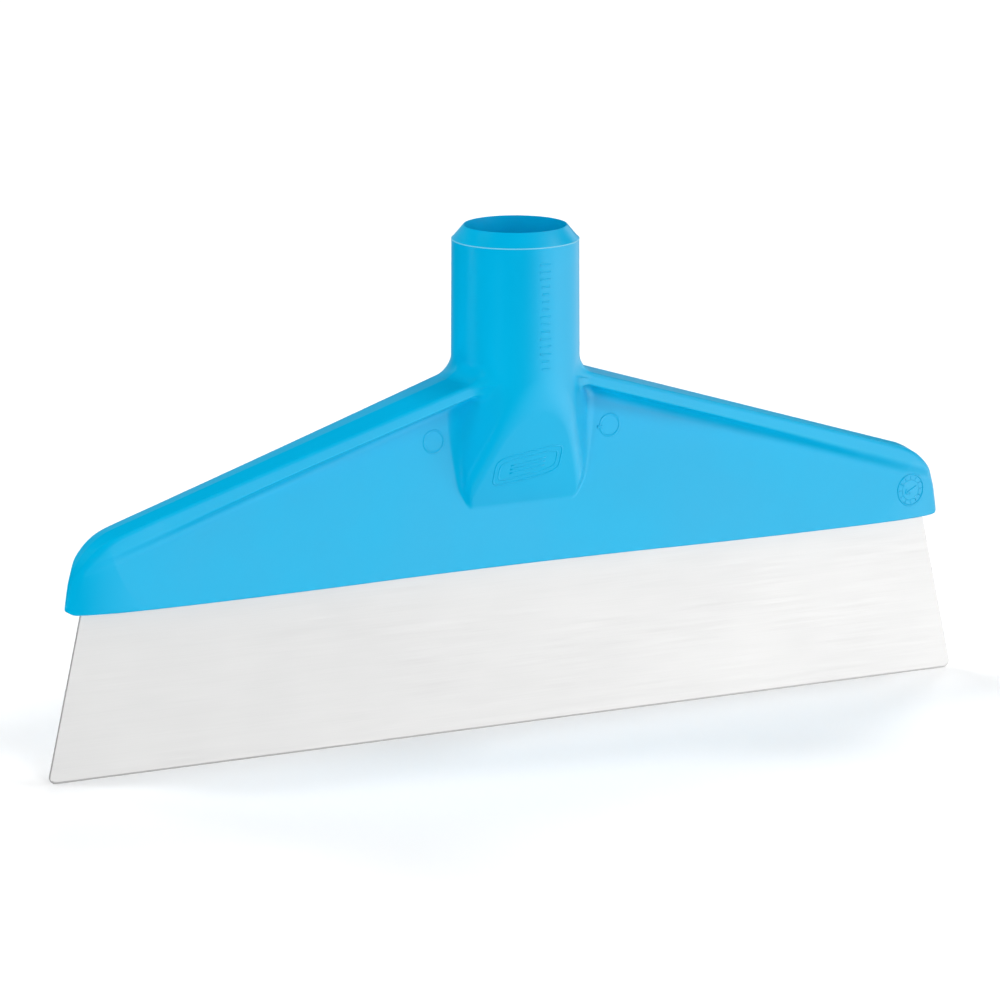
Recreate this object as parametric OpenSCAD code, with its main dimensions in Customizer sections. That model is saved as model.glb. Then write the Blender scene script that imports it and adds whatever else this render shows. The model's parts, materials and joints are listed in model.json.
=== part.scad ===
// Floor scraper head: a plastic moulding with a round handle socket,
// moulded around a stainless steel blade.
// The origin is the middle of the cutting edge. +X runs along the edge,
// +Y is the back face and +Z points up the handle.

/* [Blade] */
// Length of the cutting edge
edge_length = 270; // [250:5:300]
// Height of bare steel below the head
blade_drop = 43.9; // [30:0.1:50]
// Thickness of the steel sheet
blade_thickness = 0.8; // [0.5:0.1:1.2]
// Lean of the blade's ends and the head's ends, in degrees from upright
end_lean = 12.6; // [8:0.1:15]
// Radius at the two corners of the cutting edge
edge_corner_r = 1.8; // [0.5:0.1:4]
// Depth of steel held inside the head
embed_depth = 14; // [8:1:15]
// Radius at the two hidden corners of the blade
hidden_corner_r = 5; // [1:0.5:6]
// Number of anchor holes in the hidden strip
anchor_count = 8; // [2:2:8]
// Distance between anchor holes
anchor_pitch = 28; // [24:1:30]
// Radius of an anchor hole
anchor_r = 3; // [1.5:0.5:3.5]

/* [Head] */
// How far the head reaches past the blade's side, along X
head_overlap = 5; // [3:0.5:8]
// Half of the head's thickness at its lower edge
foot_half = 4.7; // [3.5:0.1:6]
// Half of the web's thickness at the top, under the flange
web_half = 2.8; // [2:0.1:3.5]
// Slope of the crown line along each shoulder, in degrees below level
shoulder_slope = 17.4; // [15:0.1:18]
// Height of the point where the two crown lines would meet
shoulder_peak = 101.2; // [99:0.1:103]
// Radius where a shoulder turns down into the head's end
shoulder_r = 19; // [6:0.5:22]
// Radius at the head's two lower corners
foot_corner_r = 2; // [0.5:0.5:4]
// Length of the rounded tips, seen from above
tip_length = 24; // [12:1:30]

/* [Flange] */
// Fall of the flange's top from its crown to its two edges, in degrees
crown_fall = 6; // [1:0.5:8]
// Height of the flange from its underside to its crown
flange_height = 4.7; // [3:0.1:6]
// Half width of the flange where the two crown lines would meet
flange_root_half = 10.1; // [8:0.1:12]
// Half width of the flange where the rounded tips begin
flange_tip_half = 4.9; // [4:0.1:6]

/* [Socket] */
// Height of the socket's mouth above the cutting edge
socket_top = 134; // [125:0.5:160]
// Outer radius of the socket below its chamfer
socket_r = 16.8; // [16:0.1:18]
// Outer radius of the socket where it meets the shoulders
socket_base_r = 17; // [16:0.1:18]
// Height of the chamfer round the mouth
mouth_chamfer = 3.7; // [1:0.1:3.8]
// Radius of the handle bore, which is also the root radius of its thread
bore_r = 13.4; // [13:0.1:13.6]
// Depth of the handle bore
bore_depth = 42; // [34:1:43]

/* [Boss] */
// Half angle of the boss's round front, in degrees
boss_front_angle = 45; // [40:1:48]
// Half width of the boss where its side walls meet the web
boss_foot_half = 20.4; // [19:0.1:21.5]
// Height where the sloping facet leaves the round front
facet_top = 91.4; // [88:0.1:93]
// Height where the facet runs out into the web
facet_bottom = 60.3; // [58:0.1:66]
// Half width of the boss at the bottom of the facet
facet_foot_half = 16.6; // [14:0.1:18]
// Height where the boss's sides start to close in
boss_waist = 74; // [70:0.5:80]

/* [Hidden] */
$fn = 96;
arc_steps = 12;
overcut = 1;
lean_rate = tan(end_lean);
slope_rate = tan(shoulder_slope);
head_foot = blade_drop;
blade_top = blade_drop + embed_depth;
head_foot_half = edge_length / 2 - head_foot * lean_rate + head_overlap;
tip_start = head_foot_half - tip_length;
corner_z = (shoulder_peak - slope_rate * (edge_length / 2 + head_overlap))
    / (1 - slope_rate * lean_rate);
chamfer_foot = socket_top - mouth_chamfer;
mouth_lip = 0.1;
bore_floor = socket_top - bore_depth;
boss_wall_start_r = 0.985 * socket_base_r;
socket_straight_top = shoulder_peak + overcut;
facet_rate = (socket_base_r - web_half_at(facet_bottom)) / (facet_top - facet_bottom);
widest = socket_base_r + overcut;

// Half width of the blade at height z
function blade_half(z) = edge_length / 2 - z * lean_rate;

// Half width of the head's leaning end at height z
function head_half(z) = blade_half(z) + head_overlap;

// Half thickness of the web at height z
function web_half_at(z) =
    foot_half + (web_half - foot_half) * (z - head_foot) / (shoulder_peak - head_foot);

// Unit vector from p to q
function toward(p, q) = (q - p) / norm(q - p);

// Arc of radius r that rounds the corner at b of the path a, b, c
function rounded_corner(a, b, c, r) =
    let (
        back = toward(b, a),
        ahead = toward(b, c),
        half_angle = acos(back * ahead) / 2,
        centre = b + toward([0, 0], back + ahead) * r / sin(half_angle),
        start = b + back * r / tan(half_angle) - centre,
        finish = b + ahead * r / tan(half_angle) - centre,
        sweep = 180 - 2 * half_angle
    )
    [for (i = [0:arc_steps])
        let (t = i / arc_steps)
        centre + (start * sin((1 - t) * sweep) + finish * sin(t * sweep)) / sin(sweep)];

// Outline with each corner rounded by its own radius, and sharp where that is 0
function rounded_outline(points, radii) =
    let (count = len(points))
    [for (i = [0:count - 1])
        each radii[i] == 0
            ? [points[i]]
            : rounded_corner(
                points[(i + count - 1) % count], points[i], points[(i + 1) % count], radii[i])];

// Half ellipse round the right-hand tip, from the back to the front
function tip_points(half) =
    [for (i = [0:2 * arc_steps])
        let (a = 90 * i / arc_steps)
        [tip_start + tip_length * sin(a), half * cos(a)]];

// The same points turned half a turn, so that they follow on round the other tip
function turned(points) = [for (p = points) -p];

// Extrudes a front view, drawn as (x, z), to a depth each side of the middle
module front_view(depth) {
    rotate([90, 0, 0])
        linear_extrude(2 * depth, center = true)
            children();
}

// Extrudes a side view, drawn as (y, z), to a length each side of the middle
module side_view(length) {
    rotate([90, 0, 90])
        linear_extrude(2 * length, center = true)
            children();
}

// Extrudes a plan, drawn as (x, y), from the head's foot to its peak
module plan_view() {
    translate([0, 0, head_foot])
        linear_extrude(shoulder_peak - head_foot)
            children();
}

// The whole head seen from the front
module head_outline() {
    end_half = head_half(corner_z);
    polygon(rounded_outline(
        [
            [-head_foot_half, head_foot],
            [head_foot_half, head_foot],
            [end_half, corner_z],
            [0, shoulder_peak],
            [-end_half, corner_z]
        ],
        [foot_corner_r, foot_corner_r, shoulder_r, 0, shoulder_r]
    ));
}

// A plan with rounded tips, as wide as given at its middle and at its tips
module tipped_plan(middle_half, tip_half) {
    polygon(concat(
        tip_points(tip_half),
        [[0, -middle_half]],
        turned(tip_points(tip_half)),
        [[0, middle_half]]
    ));
}

// Everything under a ridged roof that falls along one shoulder: side is 1 or -1
module under_roof(side) {
    reach = 2 * edge_length;
    fall = reach * tan(crown_fall);
    translate([0, 0, shoulder_peak])
        rotate([0, side * shoulder_slope, 0])
            side_view(reach)
                polygon([[-reach, -fall], [0, 0], [reach, -fall], [0, -reach]]);
}

// Broad thin plate that grows thicker towards its foot
module web() {
    intersection() {
        plan_view()
            tipped_plan(foot_half, foot_half);
        side_view(head_foot_half)
            polygon([
                [-foot_half, head_foot],
                [foot_half, head_foot],
                [web_half, shoulder_peak],
                [-web_half, shoulder_peak]
            ]);
    }
}

// Stiffening rib that runs along both shoulders, on both faces of the web
module flange() {
    reach = head_foot_half;
    drop = reach * slope_rate;
    intersection() {
        front_view(widest)
            polygon([
                [0, shoulder_peak - flange_height],
                [reach, shoulder_peak - flange_height - drop],
                [reach, shoulder_peak],
                [-reach, shoulder_peak],
                [-reach, shoulder_peak - flange_height - drop]
            ]);
        plan_view()
            tipped_plan(flange_root_half, flange_tip_half);
    }
}

// Side walls that spread from the boss to the web
module boss_walls() {
    wall_x = boss_wall_start_r * sin(boss_front_angle);
    wall_y = boss_wall_start_r * cos(boss_front_angle);
    plan_view()
        polygon([
            [-boss_foot_half, -web_half],
            [-wall_x, -wall_y],
            [wall_x, -wall_y],
            [boss_foot_half, -web_half],
            [boss_foot_half, web_half],
            [wall_x, wall_y],
            [-wall_x, wall_y],
            [-boss_foot_half, web_half]
        ]);
}

// Cuts a piece back to the boss's sloping facets and to its sides, which close in downwards
module boss_limits() {
    buried_y = web_half_at(facet_bottom) - facet_rate * overcut;
    loose_half = boss_foot_half + overcut;
    loose_y = socket_base_r + facet_rate * overcut;
    intersection() {
        children();
        front_view(widest)
            polygon([
                [-facet_foot_half, facet_bottom - overcut],
                [facet_foot_half, facet_bottom - overcut],
                [loose_half, boss_waist],
                [loose_half, socket_straight_top],
                [-loose_half, socket_straight_top],
                [-loose_half, boss_waist]
            ]);
        side_view(loose_half)
            polygon([
                [-buried_y, facet_bottom - overcut],
                [buried_y, facet_bottom - overcut],
                [loose_y, facet_top + overcut],
                [loose_y, socket_straight_top],
                [-loose_y, socket_straight_top],
                [-loose_y, facet_top + overcut]
            ]);
    }
}

// All that lies under the shoulders
module shoulders() {
    intersection() {
        union() {
            web();
            flange();
            boss_limits() boss_walls();
        }
        front_view(widest) head_outline();
        under_roof(1);
        under_roof(-1);
    }
}

// Outside of the round handle socket, and the round front of the boss below it
module socket() {
    boss_limits()
        translate([0, 0, facet_bottom - overcut])
            cylinder(h = socket_straight_top - facet_bottom + overcut, r = socket_base_r);
    translate([0, 0, socket_straight_top])
        cylinder(h = chamfer_foot - socket_straight_top, r1 = socket_base_r, r2 = socket_r);
    translate([0, 0, chamfer_foot])
        cylinder(h = mouth_chamfer, r1 = socket_r, r2 = bore_r + mouth_lip);
}

// Blind hole that takes the handle's end
module socket_bore() {
    translate([0, 0, bore_floor])
        cylinder(h = bore_depth + overcut, r = bore_r);
}

// Steel sheet with a row of anchor holes in the strip that the head hides
module blade_sheet() {
    difference() {
        front_view(blade_thickness / 2)
            polygon(rounded_outline(
                [
                    [-blade_half(0), 0],
                    [blade_half(0), 0],
                    [blade_half(blade_top), blade_top],
                    [-blade_half(blade_top), blade_top]
                ],
                [edge_corner_r, edge_corner_r, hidden_corner_r, hidden_corner_r]
            ));
        for (i = [0:anchor_count - 1])
            translate([(i - (anchor_count - 1) / 2) * anchor_pitch, 0, blade_drop + embed_depth / 2])
                rotate([90, 0, 0])
                    cylinder(h = blade_thickness + 2 * overcut, r = anchor_r, center = true);
    }
}

// One moulding: the plastic closes round the blade and fills its anchor holes
module head_moulding() {
    color("deepskyblue")
        difference() {
            union() {
                shoulders();
                socket();
            }
            socket_bore();
            blade_sheet();
        }
}

module blade() {
    color("gainsboro") blade_sheet();
}

head_moulding();
blade();
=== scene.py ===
import json
import math

import bmesh
import bpy
import numpy as np
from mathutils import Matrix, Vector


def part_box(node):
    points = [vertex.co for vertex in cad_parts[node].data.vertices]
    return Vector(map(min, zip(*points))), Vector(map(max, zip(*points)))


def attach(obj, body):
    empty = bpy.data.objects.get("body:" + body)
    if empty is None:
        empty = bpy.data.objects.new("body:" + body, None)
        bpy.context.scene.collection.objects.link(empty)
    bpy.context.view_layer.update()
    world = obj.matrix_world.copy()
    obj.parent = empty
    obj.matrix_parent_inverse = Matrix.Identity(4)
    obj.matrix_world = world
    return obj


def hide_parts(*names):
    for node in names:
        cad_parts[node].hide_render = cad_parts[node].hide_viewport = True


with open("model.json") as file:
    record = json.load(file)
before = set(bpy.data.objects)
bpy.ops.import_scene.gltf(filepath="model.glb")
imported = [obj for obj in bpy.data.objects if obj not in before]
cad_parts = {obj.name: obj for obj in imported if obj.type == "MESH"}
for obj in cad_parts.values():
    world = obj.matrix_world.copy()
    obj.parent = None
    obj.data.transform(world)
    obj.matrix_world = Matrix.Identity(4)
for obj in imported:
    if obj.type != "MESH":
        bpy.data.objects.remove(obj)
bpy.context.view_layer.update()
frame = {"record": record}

import openvdb
from mathutils import Matrix, Vector, geometry

mm = 0.001

# ---------------------------------------------------------------------------------------------
# Blade
# A trapezoid of 0.8 mm stainless sheet, laser cut and ground to a fine double bevel at its lower
# edge. Its upper strip lies inside the plastic, which fills a row of anchor holes.

_, blade_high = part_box("blade")
head_low, head_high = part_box("head_moulding")
sheet_half = blade_high.y
blade_lean = math.radians(12.6)
cutting_half = 135.0 * mm
edge_corner_radius = 1.8 * mm
hidden_corner_radius = 5.0 * mm
grind_height = 0.55 * mm
grind_depth = 0.27 * mm
edge_break = 0.06 * mm
anchor_count = 8
anchor_pitch = 28 * mm
anchor_radius = 3 * mm


def rounded_corner(before, corner, after, radius, steps=10):
    """Points of the arc that rounds one corner of an outline."""
    back = (before - corner).normalized()
    ahead = (after - corner).normalized()
    half = back.angle(ahead) / 2
    centre = corner + (back + ahead).normalized() * radius / math.sin(half)
    start = corner + back * radius / math.tan(half) - centre
    end = corner + ahead * radius / math.tan(half) - centre
    sweep = math.pi - 2 * half
    points = []
    for i in range(steps + 1):
        t = i / steps
        turned = start * math.sin((1 - t) * sweep) + end * math.sin(t * sweep)
        points.append(centre + turned / math.sin(sweep))
    return points


def blade_outline():
    """The sheet's outline as (x, z) points, anticlockwise from the cutting edge."""
    top_half = cutting_half - blade_high.z * math.tan(blade_lean)
    corners = [
        (Vector((-cutting_half, 0)), edge_corner_radius),
        (Vector((cutting_half, 0)), edge_corner_radius),
        (Vector((top_half, blade_high.z)), hidden_corner_radius),
        (Vector((-top_half, blade_high.z)), hidden_corner_radius),
    ]
    points = []
    for i, (corner, radius) in enumerate(corners):
        points += rounded_corner(corners[i - 1][0], corner, corners[(i + 1) % 4][0], radius)
    return points


def inward(points, i):
    """Unit vector into the outline at one of its points."""
    along = (points[(i + 1) % len(points)] - points[i - 1]).normalized()
    return Vector((-along.y, along.x))


def build_blade():
    """The sheet with its anchor holes, ground edge and broken corners."""
    outline = blade_outline()
    holes = []
    hole_height = (head_low.z + blade_high.z) / 2
    for i in range(anchor_count):
        centre = Vector(((i - (anchor_count - 1) / 2) * anchor_pitch, hole_height))
        holes.append([
            centre + anchor_radius * Vector((math.cos(a), -math.sin(a)))
            for a in np.linspace(0, 2 * math.pi, 24, endpoint=False)
        ])
    mesh = bmesh.new()
    faces_of = {-1: [], 1: []}
    for side in (-1, 1):
        for loop in [outline] + holes:
            rim = []
            face = []
            for i, point in enumerate(loop):
                ground = loop is outline and point.y < edge_corner_radius / 2
                depth = grind_depth if ground else edge_break
                height = grind_height if ground else edge_break
                inner = point + inward(loop, i) * height
                rim.append(mesh.verts.new((point.x, side * (sheet_half - depth), point.y)))
                face.append(mesh.verts.new((inner.x, side * sheet_half, inner.y)))
            faces_of[side].append((rim, face))
    for (front_rim, front_face), (back_rim, back_face) in zip(faces_of[-1], faces_of[1]):
        rings = [front_face, front_rim, back_rim, back_face]
        count = len(front_rim)
        for lower, upper in zip(rings, rings[1:]):
            for i in range(count):
                j = (i + 1) % count
                mesh.faces.new((lower[i], lower[j], upper[j], upper[i]))
    for side in (-1, 1):
        loops = [[Vector((v.co.x, v.co.z, 0)) for v in face] for _, face in faces_of[side]]
        verts = [v for _, face in faces_of[side] for v in face]
        for triangle in geometry.tessellate_polygon(loops):
            mesh.faces.new([verts[i] for i in triangle])
    bmesh.ops.recalc_face_normals(mesh, faces=mesh.faces)
    data = bpy.data.meshes.new("blade_sheet")
    mesh.to_mesh(data)
    mesh.free()
    piece = bpy.data.objects.new("blade_sheet", data)
    bpy.context.scene.collection.objects.link(piece)
    return piece


def new_material(name):
    """An empty node material, with its tree's nodes and links and its shader."""
    material = bpy.data.materials.new(name)
    material.use_nodes = True
    nodes, links = material.node_tree.nodes, material.node_tree.links
    return material, nodes, links, nodes["Principled BSDF"]


def rolled_steel():
    """Cold rolled stainless sheet: fine lengthways grain, faint cloudy patches and small scratches."""
    material, nodes, links, shader = new_material("rolled_steel")
    place = nodes.new("ShaderNodeTexCoord")
    stretch = nodes.new("ShaderNodeMapping")
    stretch.inputs["Scale"].default_value = (60, 1500, 5200)
    links.new(place.outputs["Object"], stretch.inputs["Vector"])
    grain = nodes.new("ShaderNodeTexNoise")
    grain.inputs["Scale"].default_value = 1
    grain.inputs["Detail"].default_value = 4
    links.new(stretch.outputs["Vector"], grain.inputs["Vector"])
    cloud = nodes.new("ShaderNodeTexNoise")
    cloud.inputs["Scale"].default_value = 22
    cloud.inputs["Detail"].default_value = 3
    links.new(place.outputs["Object"], cloud.inputs["Vector"])
    tint = nodes.new("ShaderNodeValToRGB")
    tint.color_ramp.elements[0].color = (0.72, 0.72, 0.72, 1)
    tint.color_ramp.elements[1].color = (0.80, 0.80, 0.795, 1)
    links.new(cloud.outputs["Fac"], tint.inputs["Fac"])
    links.new(tint.outputs["Color"], shader.inputs["Base Color"])
    rough = nodes.new("ShaderNodeMapRange")
    rough.inputs["To Min"].default_value = 0.50
    rough.inputs["To Max"].default_value = 0.68
    links.new(grain.outputs["Fac"], rough.inputs["Value"])
    links.new(rough.outputs["Result"], shader.inputs["Roughness"])
    bump = nodes.new("ShaderNodeBump")
    bump.inputs["Strength"].default_value = 0.14
    bump.inputs["Distance"].default_value = 0.05 * mm
    links.new(grain.outputs["Fac"], bump.inputs["Height"])
    links.new(bump.outputs["Normal"], shader.inputs["Normal"])
    shader.inputs["Metallic"].default_value = 1
    return material


blade = build_blade()
blade.data.materials.append(rolled_steel())
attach(blade, "root")
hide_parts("blade")

# ---------------------------------------------------------------------------------------------
# Head moulding
# One injection moulding in polypropylene: a broad web with a stiffening flange along both
# shoulders, a boss with a sloping facet on each face, and a round handle socket on top.

bore = frame["record"]["mounts"][0]["dims"]
bore_radius = bore["r_mm"] * mm
socket_radius = 16.65 * mm
socket_base_radius = head_high.y - 0.2 * mm
socket_top = head_high.z
socket_floor = socket_top - bore["length_mm"] * mm
chamfer_height = 3.7 * mm
lip_width = 0.15 * mm

foot = head_low.z
foot_sag = 0.3 * mm
foot_wave = 176 * mm
foot_half = 4.7 * mm
web_top_half = 2.8 * mm
foot_corner_radius = 3 * mm
foot_edge_radius = 0.6 * mm
end_half = cutting_half - foot * math.tan(blade_lean) + 5 * mm
tip_length = 26 * mm
tip_power = 1.3
tip_start = end_half - tip_length

shoulder_peak = 101.2 * mm
shoulder_slope = math.radians(17.4)
shoulder_radius = 19 * mm
parting_draft = 0.11
flange_height = 4.7 * mm
flange_root_half = 10.13 * mm
flange_tip_half = 4.9 * mm
flange_edge_radius = 0.9 * mm
tip_edge_radius = 1.6 * mm
flange_lip_radius = 0.7 * mm
web_fillet = 3.5 * mm

boss_wall_angle = math.radians(47)
boss_waist = 74 * mm
boss_shoulder_half = 20.8 * mm
boss_foot_half = 16.6 * mm
boss_foot_radius = 2.5 * mm
facet_top = 91.4 * mm
facet_bottom = 60.3 * mm
facet_rate = 0.411
boss_fillet = 1.6 * mm
crease_fillet = 0.3 * mm
facet_edge_radius = 2.0 * mm
socket_fillet = 3.8 * mm
flange_fillet = 2.2 * mm

voxel = 0.4 * mm
seam_height = 107 * mm


def rounded_edge(a, b, radius):
    """Distance to what two solids share, with the edge between them rounded."""
    outside = np.hypot(np.maximum(a + radius, 0), np.maximum(b + radius, 0))
    return np.minimum(np.maximum(a, b), -radius) + outside


def filleted(a, b, radius):
    """Distance to two solids joined with a hollow fillet between them."""
    inside = np.hypot(np.maximum(radius - a, 0), np.maximum(radius - b, 0))
    return np.maximum(np.minimum(a, b), radius) - inside


def ease(value, low, high):
    """0 below low, 1 above high, and a smooth step between them."""
    t = np.clip((value - low) / (high - low), 0, 1)
    return t * t * (3 - 2 * t)


def slab(x, y, half):
    """Distance to a slab of that half thickness, whose ends draw in slowly and then turn round."""
    reach = np.maximum(x - tip_start, 0) / tip_length
    drawn_in = reach**tip_power
    scaled = np.hypot(drawn_in, y / half)
    steep = np.hypot(tip_power * drawn_in * reach ** (tip_power - 1) / tip_length, y / half**2)
    return scaled * (scaled - 1) / np.maximum(steep, 1e-6)


def outline(x, z):
    """Distance to the head's outline seen from the front: leaning ends, shoulders and round corners."""
    end_normal = np.array([math.cos(blade_lean), math.sin(blade_lean)])
    crown_normal = np.array([math.sin(shoulder_slope), math.cos(shoulder_slope)])
    end_reach = end_normal @ (end_half, foot)
    crown_reach = crown_normal @ (0, shoulder_peak)
    centre = np.linalg.solve(
        [end_normal, crown_normal], [end_reach - shoulder_radius, crown_reach - shoulder_radius]
    )
    end = x * end_normal[0] + z * end_normal[1] - end_reach
    crown = x * crown_normal[0] + z * crown_normal[1] - crown_reach
    dx, dz = x - centre[0], z - centre[1]
    past_end = dz * end_normal[0] - dx * end_normal[1] > 0
    past_crown = dx * crown_normal[1] - dz * crown_normal[0] > 0
    corner = np.hypot(dx, dz) - shoulder_radius
    return np.where(past_end & past_crown, corner, np.maximum(end, crown))


def shoulders(x, y, z):
    """Web and flange, cut to the outline and rounded along it."""
    rise = (z - foot) / (shoulder_peak - foot)
    web = np.maximum(slab(x, y, foot_half), y - foot_half - (web_top_half - foot_half) * rise)
    flange_half = flange_root_half + (flange_tip_half - flange_root_half) * np.minimum(x / tip_start, 1)
    under_lip = shoulder_peak - flange_height - x * math.tan(shoulder_slope)
    underside = (under_lip - z) * math.cos(shoulder_slope)
    flange = rounded_edge(slab(x, y, flange_half), underside, flange_lip_radius)
    plate = filleted(web, flange, web_fillet)
    softer = ease(x, tip_start, end_half)
    edge_radius = flange_edge_radius + (tip_edge_radius - flange_edge_radius) * softer
    plate = rounded_edge(plate, outline(x, z) + parting_draft * y, edge_radius)
    foot_line = foot + foot_sag * np.cos(2 * math.pi * x / foot_wave)
    corner = rounded_edge(outline(x, z), foot_line - z, foot_corner_radius)
    return np.maximum(rounded_edge(plate, foot_line - z, foot_edge_radius), corner)


def column(x, y, z):
    """Distances to the boss, with its flat side walls and sloping facet, and to the socket alone."""
    taper = (socket_base_radius - socket_radius) / (socket_top - chamfer_height - shoulder_peak)
    front = np.hypot(x, y) - socket_base_radius + taper * np.maximum(z - shoulder_peak, 0)
    across = math.sin(boss_wall_angle)
    ahead = math.cos(boss_wall_angle)
    wall = x * across + y * ahead - socket_base_radius
    flare = np.where(x * ahead > y * across, wall, front)
    narrowing = (boss_shoulder_half - boss_foot_half) / (boss_waist - facet_bottom)
    side = (x - boss_shoulder_half + narrowing * (boss_waist - z)) / math.hypot(1, narrowing)
    flare = rounded_edge(flare, side, boss_foot_radius)
    flare = np.maximum(flare, outline(x, z) + parting_draft * y + flange_fillet)
    facet = (y - socket_base_radius - facet_rate * (z - facet_top)) / math.hypot(1, facet_rate)
    above_web = np.maximum(front, facet_bottom - z)
    boss = rounded_edge(np.minimum(flare, above_web), facet, facet_edge_radius)
    return boss, rounded_edge(above_web, facet, facet_edge_radius)


def head_distance(x, y, z):
    """Signed distance from the moulding's outer surface, for x and y as distances from the middle."""
    above = ease(outline(x, z) + parting_draft * y, -3 * mm, -1 * mm)
    outward = ease(y, 6 * mm, 9 * mm)
    radius = boss_fillet + (flange_fillet - boss_fillet) * outward
    radius = crease_fillet + (radius - crease_fillet) * ease(z, facet_bottom + mm, facet_bottom + 7 * mm)
    plate = shoulders(x, y, z)
    boss, socket = column(x, y, z)
    neck_fillet = crease_fillet + (socket_fillet - crease_fillet) * above
    return np.minimum(filleted(plate, boss, radius), filleted(plate, socket, neck_fillet))


def head_slope(x, y, z, step=0.02 * mm):
    """Unit vectors straight out of the surface near each point."""
    slope = np.stack([
        head_distance(abs(x + step), abs(y), z) - head_distance(abs(x - step), abs(y), z),
        head_distance(abs(x), abs(y + step), z) - head_distance(abs(x), abs(y - step), z),
        head_distance(abs(x), abs(y), z + step) - head_distance(abs(x), abs(y), z - step),
    ], axis=1)
    return slope / np.linalg.norm(slope, axis=1, keepdims=True)


def skin_of_head():
    """The moulding's outer surface below the seam, as points and faces."""
    across = (np.arange(math.ceil(end_half / voxel) + 3) + 0.5) * voxel
    deep = (np.arange(math.ceil(head_high.y / voxel) + 3) + 0.5) * voxel
    low = foot - 3 * voxel
    high = np.arange(math.ceil((seam_height - low) / voxel) + 4) * voxel + low
    x, y, z = np.meshgrid(across, deep, high, indexing="ij")
    quarter = head_distance(x, y, z).astype(np.float32)
    half = np.concatenate([quarter[::-1], quarter])
    whole = np.concatenate([half[:, ::-1], half], axis=1)
    grid = openvdb.FloatGrid(3 * voxel)
    grid.copyFromArray(np.ascontiguousarray(whole))
    points, quads = grid.convertToQuads(isovalue=0)
    points = points * voxel + (-across[-1], -deep[-1], low)
    return points, quads


def coordinates(data):
    """A mesh's vertices as rows of x, y and z."""
    co = np.empty(len(data.vertices) * 3)
    data.vertices.foreach_get("co", co)
    return co.reshape(-1, 3)


def build_head():
    """The moulding: its skin from the distance rule, joined to the turned socket."""
    points, quads = skin_of_head()
    data = bpy.data.meshes.new("head")
    data.from_pydata(points.tolist(), [], quads.tolist())
    head = bpy.data.objects.new("head", data)
    bpy.context.scene.collection.objects.link(head)
    thin = head.modifiers.new("thin", "DECIMATE")
    thin.ratio = min(1, 170000 / (2 * len(quads)))
    bpy.context.view_layer.update()
    evaluated = head.evaluated_get(bpy.context.evaluated_depsgraph_get())
    mesh = bmesh.new()
    mesh.from_mesh(bpy.data.meshes.new_from_object(evaluated))
    head.modifiers.clear()
    everything = mesh.verts[:] + mesh.edges[:] + mesh.faces[:]
    bmesh.ops.bisect_plane(
        mesh, geom=everything, plane_co=(0, 0, seam_height), plane_no=(0, 0, 1), clear_outer=True
    )
    mesh.to_mesh(data)
    mesh.free()
    co = coordinates(data)
    for _ in range(4):
        distance = head_distance(abs(co[:, 0]), abs(co[:, 1]), co[:, 2])
        step = head_slope(*co.T) * np.clip(distance, -voxel / 2, voxel / 2)[:, None]
        on_seam = co[:, 2] > seam_height - 1e-6
        step[on_seam, 2] = 0
        co -= step
    data.vertices.foreach_set("co", co.ravel())
    add_socket(data)
    for polygon in data.polygons:
        polygon.use_smooth = True
    normals = np.array([v.vector for v in data.vertex_normals])
    co = coordinates(data)
    skin = (co[:, 2] < seam_height + 1e-6) & (np.hypot(co[:, 0], co[:, 1]) > socket_radius - mm / 2)
    skin |= co[:, 2] < socket_floor - mm
    normals[skin] = head_slope(*co[skin].T)
    data.normals_split_custom_set_from_vertices(normals.tolist())
    return head


def socket_profile():
    """The socket's section above the seam as (radius, height), up the outside and down the bore."""
    chamfer_foot = Vector((socket_radius, socket_top - chamfer_height))
    mouth = Vector((bore_radius + lip_width, socket_top))
    inner = Vector((bore_radius, socket_top))
    floor = Vector((bore_radius, socket_floor))
    slope = (socket_base_radius - socket_radius) / (chamfer_foot.y - shoulder_peak)
    start = Vector((socket_base_radius - slope * (seam_height - shoulder_peak), seam_height))
    points = [start.lerp(chamfer_foot, t) for t in (0.03, 0.35, 0.7)]
    points += rounded_corner(start, chamfer_foot, mouth, 0.5 * mm, 6)
    points += [chamfer_foot.lerp(mouth, 0.5)]
    points += rounded_corner(chamfer_foot, mouth, inner + (inner - mouth), 0.12 * mm, 4)
    points += rounded_corner(mouth, inner, floor, 0.1 * mm, 4)
    points += [inner.lerp(floor, t) for t in (0.1, 0.5, 0.9)]
    points += rounded_corner(inner, floor, Vector((0, socket_floor)), 0.8 * mm, 5)
    points += [Vector((bore_radius * t, socket_floor)) for t in (0.6, 0.2)]
    return points


def add_socket(data, segments=192):
    """Turns the socket's section round its axis and joins it to the skin's open ring."""
    mesh = bmesh.new()
    mesh.from_mesh(data)
    open_edges = [e for e in mesh.edges if e.is_boundary]
    rings = []
    for point in socket_profile():
        rings.append([
            mesh.verts.new((point.x * math.cos(a), point.x * math.sin(a), point.y))
            for a in np.linspace(0, 2 * math.pi, segments, endpoint=False)
        ])
    for lower, upper in zip(rings, rings[1:]):
        for i in range(segments):
            j = (i + 1) % segments
            mesh.faces.new((lower[i], lower[j], upper[j], upper[i]))
    mesh.faces.new(rings[-1])
    ring_edges = [mesh.edges.get((rings[0][i], rings[0][(i + 1) % segments])) for i in range(segments)]
    bmesh.ops.bridge_loops(mesh, edges=open_edges + ring_edges)
    bmesh.ops.recalc_face_normals(mesh, faces=mesh.faces)
    mesh.to_mesh(data)
    mesh.free()


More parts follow.
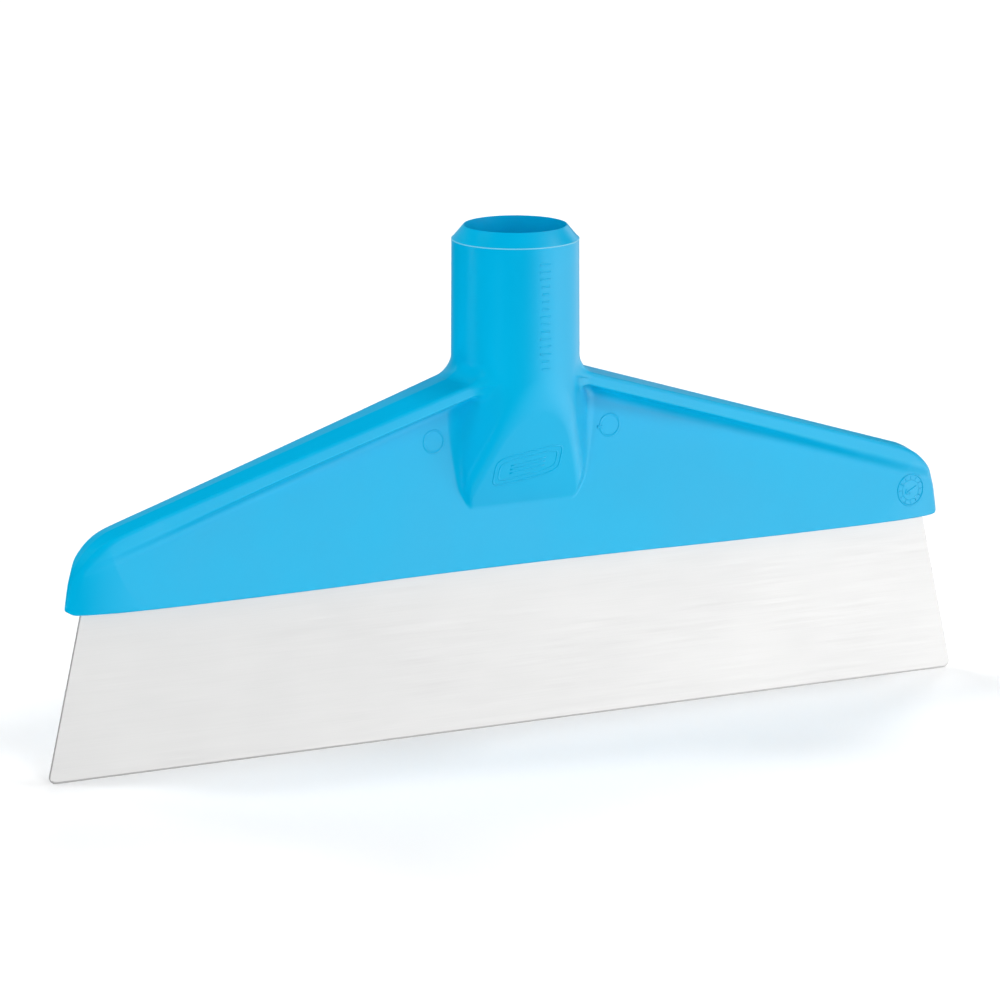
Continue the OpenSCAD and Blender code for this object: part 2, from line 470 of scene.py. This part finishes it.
def noise(nodes, links, vector, scale, detail, seed=0.0):
    """A noise texture's grey value over a vector."""
    texture = nodes.new("ShaderNodeTexNoise")
    texture.noise_dimensions = "4D"
    texture.inputs["W"].default_value = seed
    texture.inputs["Scale"].default_value = scale
    texture.inputs["Detail"].default_value = detail
    links.new(vector, texture.inputs["Vector"])
    return texture.outputs["Fac"]


def spread(nodes, links, value, low, high, to_low, to_high):
    """Maps a grey value smoothly from one range to another."""
    ranged = nodes.new("ShaderNodeMapRange")
    ranged.interpolation_type = "SMOOTHSTEP"
    for name, number in (("From Min", low), ("From Max", high), ("To Min", to_low), ("To Max", to_high)):
        ranged.inputs[name].default_value = number
    links.new(value, ranged.inputs["Value"])
    return ranged.outputs["Result"]


def bumped(nodes, links, height, distance, below=None):
    """A bump of that height, laid over the bump below it."""
    bump = nodes.new("ShaderNodeBump")
    bump.inputs["Distance"].default_value = distance
    links.new(height, bump.inputs["Height"])
    if below:
        links.new(below, bump.inputs["Normal"])
    return bump.outputs["Normal"]


def blue_plastic(name, dark, light):
    """Semi-gloss moulded polypropylene: even pigment, sink and flow marks, fine skin, light scuffs."""
    material, nodes, links, shader = new_material(name)
    place = nodes.new("ShaderNodeTexCoord").outputs["Object"]
    flow = noise(nodes, links, place, 30, 3)
    pigment = nodes.new("ShaderNodeValToRGB")
    pigment.color_ramp.interpolation = "EASE"
    pigment.color_ramp.elements[0].position = 0.2
    pigment.color_ramp.elements[0].color = dark
    pigment.color_ramp.elements[1].position = 0.8
    pigment.color_ramp.elements[1].color = light
    links.new(flow, pigment.inputs["Fac"])
    links.new(pigment.outputs["Color"], shader.inputs["Base Color"])
    stretch = nodes.new("ShaderNodeMapping")
    stretch.inputs["Rotation"].default_value = (0, math.radians(24), 0)
    stretch.inputs["Scale"].default_value = (90, 900, 2600)
    links.new(place, stretch.inputs["Vector"])
    scuffs = spread(nodes, links, noise(nodes, links, stretch.outputs["Vector"], 1, 2), 0.66, 0.82, 0, 1)
    rough = nodes.new("ShaderNodeMath")
    rough.operation = "MULTIPLY_ADD"
    rough.inputs[1].default_value = 0.03
    links.new(scuffs, rough.inputs[0])
    links.new(spread(nodes, links, flow, 0.2, 0.8, 0.28, 0.36), rough.inputs[2])
    links.new(rough.outputs["Value"], shader.inputs["Roughness"])
    sinks = bumped(nodes, links, noise(nodes, links, place, 55, 2, 3.0), 0.2 * mm)
    skin = bumped(nodes, links, noise(nodes, links, place, 2600, 2), 0.002 * mm, sinks)
    links.new(bumped(nodes, links, scuffs, 0.0003 * mm, skin), shader.inputs["Normal"])
    shader.inputs["IOR"].default_value = 1.49
    return material


plastic = blue_plastic("blue_plastic", (0.0, 0.440, 0.765, 1), (0.0, 0.470, 0.80, 1))
head = build_head()
head.data.materials.append(plastic)
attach(head, "root")
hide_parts("head_moulding")

# ---------------------------------------------------------------------------------------------
# Handle thread and flash
# A coarse thread inside the bore takes the handle's end. A thin line of flash runs round the foot
# of the mouth's chamfer, where two parts of the mould met. Both are the head's own plastic; the
# flash's paler blue is a painted highlight for the light line that the chamfer's foot catches.

thread_top = socket_top - 9 * mm
thread_pitch = 5 * mm
thread_turns = 5.5
thread_core = 11.8 * mm
thread_depth = bore_radius + 0.2 * mm - thread_core
thread_root = 2.6 * mm
thread_crest = 1.2 * mm
flash_radius = 0.16 * mm
flash_sunk = 0.05 * mm


def new_tree(name, sizes):
    """An empty Geometry Nodes tree with named length or count inputs."""
    tree = bpy.data.node_groups.new(name, "GeometryNodeTree")
    tree.interface.new_socket("Geometry", in_out="INPUT", socket_type="NodeSocketGeometry")
    for label, value in sizes.items():
        kind = "NodeSocketInt" if isinstance(value, int) else "NodeSocketFloat"
        tree.interface.new_socket(label, in_out="INPUT", socket_type=kind)
    tree.interface.new_socket("Material", in_out="INPUT", socket_type="NodeSocketMaterial")
    tree.interface.new_socket("Geometry", in_out="OUTPUT", socket_type="NodeSocketGeometry")
    return tree, tree.nodes.new("NodeGroupInput").outputs


def close_tree(tree, geometry, inputs):
    """Ends a tree with real geometry in the piece's material."""
    nodes, links = tree.nodes, tree.links
    real = nodes.new("GeometryNodeRealizeInstances")
    painted = nodes.new("GeometryNodeSetMaterial")
    output = nodes.new("NodeGroupOutput")
    links.new(geometry, real.inputs["Geometry"])
    links.new(real.outputs["Geometry"], painted.inputs["Geometry"])
    links.new(inputs["Material"], painted.inputs["Material"])
    links.new(painted.outputs["Geometry"], output.inputs["Geometry"])


def grown(tree, sizes, material):
    """The plain mesh that a tree makes with these sizes."""
    host = bpy.data.objects.new(tree.name, bpy.data.meshes.new(tree.name))
    bpy.context.scene.collection.objects.link(host)
    grow = host.modifiers.new("grow", "NODES")
    grow.node_group = tree
    for item in tree.interface.items_tree:
        if item.in_out == "INPUT" and item.name in sizes:
            grow[item.identifier] = sizes[item.name]
        if item.in_out == "INPUT" and item.name == "Material":
            grow[item.identifier] = material
    bpy.context.view_layer.update()
    data = bpy.data.meshes.new_from_object(host.evaluated_get(bpy.context.evaluated_depsgraph_get()))
    host.modifiers.clear()
    bpy.data.objects.remove(host)
    return data


def adopt(data, name, material, smooth=True):
    """Makes a mesh a piece of the head that rides on the root."""
    for polygon in data.polygons:
        polygon.use_smooth = smooth
    piece = bpy.data.objects.new(name, data)
    bpy.context.scene.collection.objects.link(piece)
    data.materials.clear()
    data.materials.append(material)
    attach(piece, "root")


def thread_tree(sizes):
    """A ridge with a trapezoid section that winds down a spiral."""
    tree, inputs = new_tree("socket_thread", sizes)
    nodes, links = tree.nodes, tree.links
    spiral = nodes.new("GeometryNodeCurveSpiral")
    spiral.inputs["Resolution"].default_value = 96
    links.new(inputs["Turns"], spiral.inputs["Rotations"])
    links.new(inputs["Radius"], spiral.inputs["Start Radius"])
    links.new(inputs["Radius"], spiral.inputs["End Radius"])
    links.new(inputs["Height"], spiral.inputs["Height"])
    upright = nodes.new("GeometryNodeSetCurveNormal")
    upright.mode = "Z_UP"
    links.new(spiral.outputs["Curve"], upright.inputs["Curve"])
    section = nodes.new("GeometryNodeCurvePrimitiveQuadrilateral")
    section.mode = "TRAPEZOID"
    links.new(inputs["Root width"], section.inputs["Bottom Width"])
    links.new(inputs["Crest width"], section.inputs["Top Width"])
    links.new(inputs["Depth"], section.inputs["Height"])
    section.inputs["Offset"].default_value = 0
    turned = nodes.new("GeometryNodeTransform")
    turned.inputs["Rotation"].default_value = (0, 0, math.radians(-90))
    links.new(section.outputs["Curve"], turned.inputs["Geometry"])
    ridge = nodes.new("GeometryNodeCurveToMesh")
    links.new(upright.outputs["Curve"], ridge.inputs["Curve"])
    links.new(turned.outputs["Geometry"], ridge.inputs["Profile Curve"])
    ridge.inputs["Fill Caps"].default_value = True
    close_tree(tree, ridge.outputs["Mesh"], inputs)
    return tree


sizes = {
    "Turns": thread_turns,
    "Radius": thread_core + thread_depth / 2,
    "Height": thread_pitch * thread_turns,
    "Root width": thread_root,
    "Crest width": thread_crest,
    "Depth": thread_depth,
}
data = grown(thread_tree(sizes), sizes, plastic)
data.transform(Matrix.Translation((0, 0, thread_top - thread_pitch * thread_turns)))
adopt(data, "socket_thread", plastic, smooth=False)


def flash_tree(sizes):
    """A thin bead round a circle."""
    tree, inputs = new_tree("mouth_flash", sizes)
    nodes, links = tree.nodes, tree.links
    circle = nodes.new("GeometryNodeCurvePrimitiveCircle")
    circle.inputs["Resolution"].default_value = 192
    links.new(inputs["Radius"], circle.inputs["Radius"])
    section = nodes.new("GeometryNodeCurvePrimitiveCircle")
    section.inputs["Resolution"].default_value = 10
    links.new(inputs["Thickness"], section.inputs["Radius"])
    bead = nodes.new("GeometryNodeCurveToMesh")
    links.new(circle.outputs["Curve"], bead.inputs["Curve"])
    links.new(section.outputs["Curve"], bead.inputs["Profile Curve"])
    close_tree(tree, bead.outputs["Mesh"], inputs)
    return tree


sizes = {"Radius": socket_radius - flash_sunk, "Thickness": flash_radius}
data = grown(flash_tree(sizes), sizes, plastic)
data.transform(Matrix.Translation((0, 0, socket_top - chamfer_height)))
# The flash's paler blue is a painted highlight: lighter colour standing in for the light caught at the
# chamfer's foot.
flash_painted_highlight = blue_plastic("flash_painted_highlight", (0.16, 0.60, 0.85, 1), (0.26, 0.68, 0.88, 1))
adopt(data, "mouth_flash", flash_painted_highlight)

# ---------------------------------------------------------------------------------------------
# Marks on the head
# Low marks in the head's own plastic, all on the front: two ejector pins' rings beside the boss, a
# plain badge on its facet, a date wheel near the right-hand end and raised dashes up the socket.

pin_mark_radius = 2.9 * mm
pin_mark_width = 0.6 * mm
right_pin = (26.3 * mm, 78.8 * mm)
left_pin = (-25.9 * mm, 79.4 * mm)
pin_nub = ((22.6 * mm, 78.6 * mm), (24.1 * mm, 78.6 * mm))
wheel_x, wheel_z = 119.3 * mm, 51.9 * mm
wheel_radius = 4.25 * mm
wheel_tick_count = 12
arrow_half = 1.7 * mm
arrow_width = 0.5 * mm
arrow_height = 0.16 * mm
badge_x, badge_z = -0.9 * mm, 71.6 * mm
badge_half = (9.5 * mm, 4.0 * mm)
badge_inset = 1.3 * mm
badge_corner_power = 5
badge_bead = 0.5 * mm
badge_bar_half = 5 * mm
badge_bar_gap = 1.1 * mm
badge_rise = math.tan(math.radians(9))
dash_count = 15
dash_length = 3.2 * mm
dash_low = 98.5 * mm
dash_high = 126 * mm


def on_front(x, z):
    """Points of the front surface at these places, and the directions straight out of it there."""
    x, z = np.asarray(x, float), np.asarray(z, float)
    inside, outside = np.zeros_like(x), np.full_like(x, head_high.y)
    for _ in range(30):
        middle = (inside + outside) / 2
        solid = head_distance(abs(x), middle, z) < 0
        inside = np.where(solid, middle, inside)
        outside = np.where(solid, outside, middle)
    return np.stack([x, -inside, z], axis=1), head_slope(x, -inside, z)


def lay_on_front(data, x, z, height):
    """Moves a mesh's vertices to these places on the front surface, each at its own height above it."""
    points, outward = on_front(x, z)
    data.vertices.foreach_set("co", (points + outward * height[:, None]).ravel())


def add_bead(mesh, x, z, width, height, closed, steps=8):
    """A bead with an oval section that follows the front surface through these places."""
    points, outward = on_front(x, z)
    if closed:
        along = np.roll(points, -1, axis=0) - np.roll(points, 1, axis=0)
    else:
        along = np.gradient(points, axis=0)
    along /= np.linalg.norm(along, axis=1, keepdims=True)
    across = np.cross(along, outward)
    rings = []
    for point, side, out in zip(points, across, outward):
        turn = np.linspace(0, 2 * math.pi, steps, endpoint=False)
        ring = point + np.outer(np.cos(turn), side) * width / 2 + np.outer(np.sin(turn), out) * height
        rings.append([mesh.verts.new(corner) for corner in ring])
    for i in range(len(rings) if closed else len(rings) - 1):
        lower, upper = rings[i], rings[(i + 1) % len(rings)]
        for j in range(steps):
            k = (j + 1) % steps
            mesh.faces.new((lower[j], lower[k], upper[k], upper[j]))
    if not closed:
        mesh.faces.new(rings[0][::-1])
        mesh.faces.new(rings[-1])


def add_ring(mesh, x, z, radius, width, height, steps=64):
    """A round bead."""
    turn = np.linspace(0, 2 * math.pi, steps, endpoint=False)
    add_bead(mesh, x + radius * np.cos(turn), z + radius * np.sin(turn), width, height, True)


def add_stroke(mesh, start, end, width, height, steps=12):
    """A straight bead from one place to another."""
    x, z = np.linspace(start, end, steps).T
    add_bead(mesh, x, z, width, height, False)


def finish_piece(mesh, name):
    """Turns the working mesh into a piece in the head's plastic."""
    bmesh.ops.recalc_face_normals(mesh, faces=mesh.faces)
    data = bpy.data.meshes.new(name)
    mesh.to_mesh(data)
    mesh.free()
    adopt(data, name, plastic)


mesh = bmesh.new()
add_ring(mesh, *right_pin, pin_mark_radius, pin_mark_width, 0.10 * mm)
add_stroke(mesh, *pin_nub, 0.9 * mm, 0.22 * mm)
add_ring(mesh, *left_pin, pin_mark_radius, pin_mark_width, 0.08 * mm)
finish_piece(mesh, "ejector_pin_marks")

mesh = bmesh.new()
add_ring(mesh, wheel_x, wheel_z, wheel_radius, 0.55 * mm, 0.20 * mm)
add_ring(mesh, wheel_x, wheel_z, wheel_radius - 1.5 * mm, 0.3 * mm, 0.08 * mm)
tip_x, tip_z = wheel_x - arrow_half, wheel_z - 0.5 * arrow_half
tail = (wheel_x + arrow_half, wheel_z + 0.5 * arrow_half)
upper_barb = ((tip_x, tip_z + 0.1 * mm), (tip_x + 0.3 * mm, tip_z + 1.3 * mm))
lower_barb = ((tip_x + 0.1 * mm, tip_z), (tip_x + 1.4 * mm, tip_z - 0.1 * mm))
for start, end in ((tail, (tip_x, tip_z)), upper_barb, lower_barb):
    add_stroke(mesh, start, end, arrow_width, arrow_height)
finish_piece(mesh, "date_wheel")

mesh = bmesh.new()
turn = np.linspace(0, 2 * math.pi, 120, endpoint=False)
squareness = abs(np.cos(turn)) ** badge_corner_power + abs(np.sin(turn)) ** badge_corner_power
reach = squareness ** (-1 / badge_corner_power)
for inset, height in ((0, 0.14 * mm), (badge_inset, 0.10 * mm)):
    right = (badge_half[0] - inset) * reach * np.cos(turn)
    up = (badge_half[1] - inset) * reach * np.sin(turn)
    add_bead(mesh, badge_x + right, badge_z + up + right * badge_rise, badge_bead, height, True)
for level in (-1, 0, 1):
    middle = badge_z + level * badge_bar_gap
    start = (badge_x - badge_bar_half, middle - badge_bar_half * badge_rise)
    end = (badge_x + badge_bar_half, middle + badge_bar_half * badge_rise)
    add_stroke(mesh, start, end, badge_bead, 0.12 * mm)
finish_piece(mesh, "plain_badge")


def bar_of(tree, length, width):
    """A short round bar along X, for a tree to repeat."""
    nodes, links = tree.nodes, tree.links
    half = nodes.new("ShaderNodeMath")
    half.operation = "MULTIPLY"
    half.inputs[1].default_value = 0.5
    links.new(length, half.inputs[0])
    minus = nodes.new("ShaderNodeMath")
    minus.operation = "MULTIPLY"
    minus.inputs[1].default_value = -1
    links.new(half.outputs["Value"], minus.inputs[0])
    ends = []
    for value in (minus, half):
        end = nodes.new("ShaderNodeCombineXYZ")
        links.new(value.outputs["Value"], end.inputs["X"])
        ends.append(end.outputs["Vector"])
    line = nodes.new("GeometryNodeCurvePrimitiveLine")
    links.new(ends[0], line.inputs["Start"])
    links.new(ends[1], line.inputs["End"])
    section = nodes.new("GeometryNodeCurvePrimitiveCircle")
    section.inputs["Resolution"].default_value = 12
    links.new(width, section.inputs["Radius"])
    bar = nodes.new("GeometryNodeCurveToMesh")
    links.new(line.outputs["Curve"], bar.inputs["Curve"])
    links.new(section.outputs["Curve"], bar.inputs["Profile Curve"])
    bar.inputs["Fill Caps"].default_value = True
    return bar.outputs["Mesh"]


def dash_tree(sizes):
    """A column of bars, each with its own length."""
    tree, inputs = new_tree("dash_row", sizes)
    nodes, links = tree.nodes, tree.links
    upright = nodes.new("GeometryNodeMeshLine")
    upright.mode = "OFFSET"
    step = nodes.new("ShaderNodeCombineXYZ")
    links.new(inputs["Spacing"], step.inputs["Z"])
    links.new(inputs["Count"], upright.inputs["Count"])
    links.new(step.outputs["Vector"], upright.inputs["Offset"])
    length = nodes.new("FunctionNodeRandomValue")
    length.data_type = "FLOAT_VECTOR"
    length.inputs[0].default_value = (0.45, 1, 1)
    length.inputs[1].default_value = (1, 1, 1)
    links.new(inputs["Seed"], length.inputs["Seed"])
    row = nodes.new("GeometryNodeInstanceOnPoints")
    links.new(upright.outputs["Mesh"], row.inputs["Points"])
    links.new(bar_of(tree, inputs["Length"], inputs["Thickness"]), row.inputs["Instance"])
    links.new(length.outputs[0], row.inputs["Scale"])
    close_tree(tree, row.outputs["Instances"], inputs)
    return tree


sizes = {
    "Count": dash_count,
    "Spacing": (dash_high - dash_low) / (dash_count - 1),
    "Length": dash_length,
    "Thickness": 0.28 * mm,
    "Seed": 7,
}
data = grown(dash_tree(sizes), sizes, plastic)
right, ahead, up = coordinates(data).T
lay_on_front(data, right, up + dash_low, -ahead * 0.6)
adopt(data, "dash_row", plastic)


def tick_tree(sizes):
    """Bars set round a circle, each pointing at its middle."""
    tree, inputs = new_tree("wheel_ticks", sizes)
    nodes, links = tree.nodes, tree.links
    circle = nodes.new("GeometryNodeCurvePrimitiveCircle")
    links.new(inputs["Count"], circle.inputs["Resolution"])
    links.new(inputs["Radius"], circle.inputs["Radius"])
    places = nodes.new("GeometryNodeCurveToPoints")
    places.mode = "EVALUATED"
    links.new(circle.outputs["Curve"], places.inputs["Curve"])
    aim = nodes.new("FunctionNodeAlignRotationToVector")
    aim.axis = "X"
    where = nodes.new("GeometryNodeInputPosition")
    links.new(where.outputs["Position"], aim.inputs["Vector"])
    ring = nodes.new("GeometryNodeInstanceOnPoints")
    links.new(places.outputs["Points"], ring.inputs["Points"])
    links.new(bar_of(tree, inputs["Length"], inputs["Thickness"]), ring.inputs["Instance"])
    links.new(aim.outputs["Rotation"], ring.inputs["Rotation"])
    close_tree(tree, ring.outputs["Instances"], inputs)
    return tree


sizes = {
    "Count": wheel_tick_count,
    "Radius": wheel_radius - 0.8 * mm,
    "Length": 0.8 * mm,
    "Thickness": 0.17 * mm,
}
data = grown(tick_tree(sizes), sizes, plastic)
right, up, ahead = coordinates(data).T
lay_on_front(data, right + wheel_x, up + wheel_z, ahead * 0.8)
adopt(data, "wheel_ticks", plastic)

# ---------------------------------------------------------------------------------------------
# Studio
# A pale floor under the cutting edge, a white surround, and soft lamps all round. Cards, which show
# only in reflections, stand mostly to the right. The camera stands to the left, a little above.

floor_half = 6.0
focal_length = 231.8
camera_target = Vector((-4.5, 0, 61.0)) * mm
camera_azimuth = math.radians(-28)
camera_elevation = math.radians(12.34)
camera_distance = 1.688


def build_floor():
    """A broad pale floor that no other surface reflects."""
    data = bpy.data.meshes.new("floor")
    corners = [(x * floor_half, y * floor_half, 0) for x, y in ((-1, -1), (1, -1), (1, 1), (-1, 1))]
    data.from_pydata(corners, [], [(0, 1, 2, 3)])
    floor = bpy.data.objects.new("floor", data)
    bpy.context.scene.collection.objects.link(floor)
    material, _, _, shader = new_material("floor_paint")
    shader.inputs["Base Color"].default_value = (0.92, 0.92, 0.92, 1)
    shader.inputs["Roughness"].default_value = 0.9
    shader.inputs["Emission Color"].default_value = (1, 1, 1, 1)
    shader.inputs["Emission Strength"].default_value = 0.2
    data.materials.append(material)
    floor.visible_glossy = False
    floor.visible_diffuse = False
    floor.visible_shadow = False


def outward_from(azimuth, elevation):
    """The direction at that angle round from the front and that angle above level, in radians."""
    level = math.cos(elevation)
    return Vector((math.sin(azimuth) * level, -math.cos(azimuth) * level, math.sin(elevation)))


def facing_lamp(name, azimuth, elevation, distance, width, height):
    """A rectangular lamp that faces the object and shows only in reflections."""
    data = bpy.data.lights.new(name, "AREA")
    data.shape = "RECTANGLE"
    data.size = width
    data.size_y = height
    light = bpy.data.objects.new(name, data)
    middle = Vector((0, 0, (head_low.z + head_high.z) / 2))
    outward = outward_from(math.radians(azimuth), math.radians(elevation))
    light.location = middle + distance * outward
    light.rotation_euler = outward.to_track_quat("Z", "Y").to_euler()
    light.visible_diffuse = False
    light.visible_camera = False
    bpy.context.scene.collection.objects.link(light)
    return light


def card(name, azimuth, elevation, distance, width, height, radiance):
    """A white card of even brightness."""
    light = facing_lamp(name, azimuth, elevation, distance, width, height)
    light.data.energy = radiance * math.pi * width * height
    return light


def light_only(light, piece):
    """Keeps a lamp's light to one piece."""
    receivers = bpy.data.collections.new(light.name)
    receivers.objects.link(piece)
    light.light_linking.receiver_collection = receivers


def fading_card(name, azimuth, distance, width, height, drop, radiance, across, upward):
    """An upright card whose brightness follows a ramp across it and another up it."""
    light = facing_lamp(name, azimuth, 0, distance, width, height)
    light.location.z -= drop
    light.data.energy = radiance * math.pi * width * height
    light.data.use_nodes = True
    nodes, links = light.data.node_tree.nodes, light.data.node_tree.links
    place = nodes.new("ShaderNodeNewGeometry")
    split = nodes.new("ShaderNodeSeparateXYZ")
    links.new(place.outputs["Parametric"], split.inputs["Vector"])
    product = nodes.new("ShaderNodeMath")
    product.operation = "MULTIPLY"
    for i, (axis, stops) in enumerate((("X", across), ("Y", upward))):
        ramp = nodes.new("ShaderNodeValToRGB")
        ramp.color_ramp.interpolation = "EASE"
        while len(ramp.color_ramp.elements) < len(stops):
            ramp.color_ramp.elements.new(0.5)
        for element, (position, level) in zip(ramp.color_ramp.elements, stops):
            element.position = position
            element.color = (level, level, level, 1)
        links.new(split.outputs[axis], ramp.inputs["Fac"])
        links.new(ramp.outputs["Color"], product.inputs[i])
    links.new(product.outputs["Value"], nodes["Emission"].inputs["Strength"])


def even_light(lamps=18, spread=16, brightness=1.01):
    """Soft lamps spaced evenly all round, which light every side alike and show in no reflection."""
    golden = math.pi * (3 - math.sqrt(5))
    for i in range(lamps):
        up = 1 - (2 * i + 1) / lamps
        out = math.sqrt(1 - up * up)
        data = bpy.data.lights.new("soft_lamp", "SUN")
        data.energy = 4 * math.pi * brightness / lamps
        data.angle = math.radians(spread)
        light = bpy.data.objects.new("soft_lamp", data)
        toward = Vector((out * math.cos(golden * i), out * math.sin(golden * i), up))
        light.rotation_euler = toward.to_track_quat("Z", "Y").to_euler()
        light.visible_glossy = False
        bpy.context.scene.collection.objects.link(light)


def surround():
    """A white surround, seen only by the camera."""
    world = bpy.data.worlds.new("studio")
    bpy.context.scene.world = world
    world.use_nodes = True
    background = world.node_tree.nodes["Background"]
    background.inputs["Color"].default_value = (1, 1, 1, 1)
    background.inputs["Strength"].default_value = 1
    world.cycles_visibility.glossy = False
    world.cycles_visibility.diffuse = False


def build_camera():
    """A long lens to the left of the front, aimed a little below the middle of the head."""
    data = bpy.data.cameras.new("camera")
    data.lens = focal_length
    data.sensor_width = 36
    data.clip_end = 30
    camera = bpy.data.objects.new("camera", data)
    outward = outward_from(camera_azimuth, camera_elevation)
    camera.location = camera_target + camera_distance * outward
    camera.rotation_euler = (-outward).to_track_quat("-Z", "Y").to_euler()
    bpy.context.scene.collection.objects.link(camera)
    bpy.context.scene.camera = camera


build_floor()
surround()
even_light()
fading_card(
    "right_card", azimuth=55, distance=1.2, width=3.5, height=2.57, drop=0.77, radiance=2.6,
    across=(
        (0, 0.1), (0.12, 0.2), (0.22, 0.32), (0.36, 0.62),
        (0.47, 1), (0.63, 0.6), (0.79, 0.4), (1, 0.35),
    ),
    upward=((0, 0.05), (0.3, 0.4), (0.6, 1), (0.72, 0.9), (0.85, 0.5), (1, 0)),
)
card("side_card", azimuth=121, elevation=-8, distance=1.2, width=0.5, height=1.4, radiance=0.9)
card("back_card", azimuth=160, elevation=0, distance=1.5, width=1.0, height=0.7, radiance=0.35)
card("top_card", azimuth=120, elevation=48, distance=1.2, width=0.7, height=0.4, radiance=1.5)
card("edge_card", azimuth=48, elevation=41, distance=1.3, width=1.1, height=0.4, radiance=2.4)
light_only(
    card("steel_card", azimuth=-15, elevation=-12, distance=1.2, width=3.0, height=3.0, radiance=0.6),
    blade,
)
light_only(
    card("steel_back_card", azimuth=205, elevation=0, distance=1.2, width=2.4, height=2.0, radiance=0.7),
    blade,
)
build_camera()
bpy.context.scene.view_settings.view_transform = "Standard"
